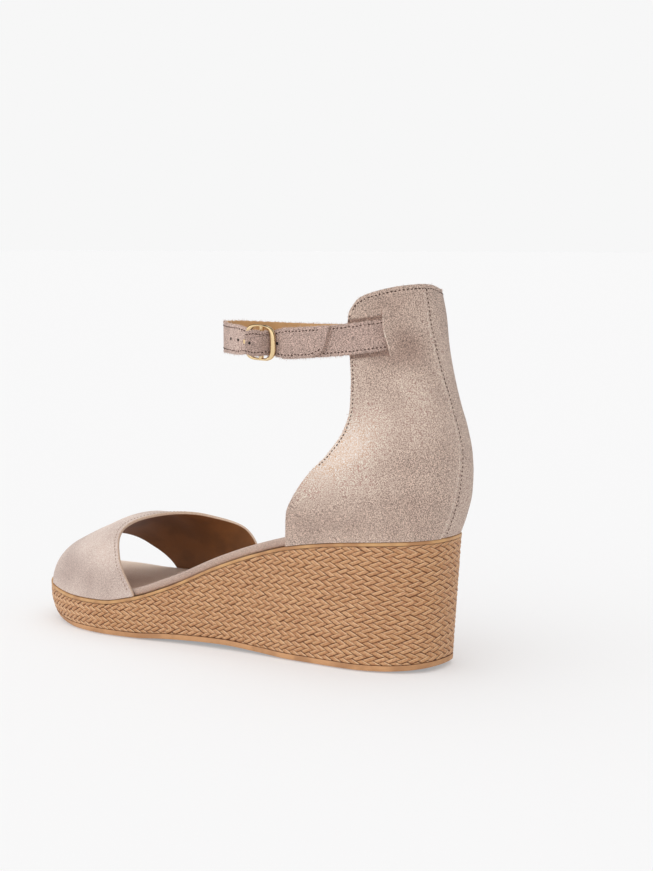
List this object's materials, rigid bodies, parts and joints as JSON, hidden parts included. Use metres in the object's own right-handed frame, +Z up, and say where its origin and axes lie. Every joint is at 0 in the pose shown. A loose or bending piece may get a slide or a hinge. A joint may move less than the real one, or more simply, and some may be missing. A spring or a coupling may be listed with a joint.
{
  "type": "platform sandal",
  "caption": "Left open-toe wedge sandal with closed heel counter, broad vamp band and buckled ankle strap.",
  "frame": {"origin": "on the floor at the middle of the heel's resting spot", "axes": "+Y from heel to toe, +Z up, +X to the medial side of a left foot"},
  "size_m": [0.0835, 0.2522, 0.1831],
  "materials": {
    "outsole": "matt",
    "wedge": "satin, woven pattern",
    "insole": "suede",
    "upper": "suede",
    "strap": "suede outside, smooth inside",
    "buckle": "polished"
  },
  "bodies": {
    "root": {"outsole": "outsole", "wedge": "wedge", "insole": "insole", "vamp": "upper", "quarter": "upper", "buckle_strap": "strap", "ankle_strap": "strap", "buckle_frame": "buckle", "buckle_prong": "buckle"}
  },
  "joints": []
}
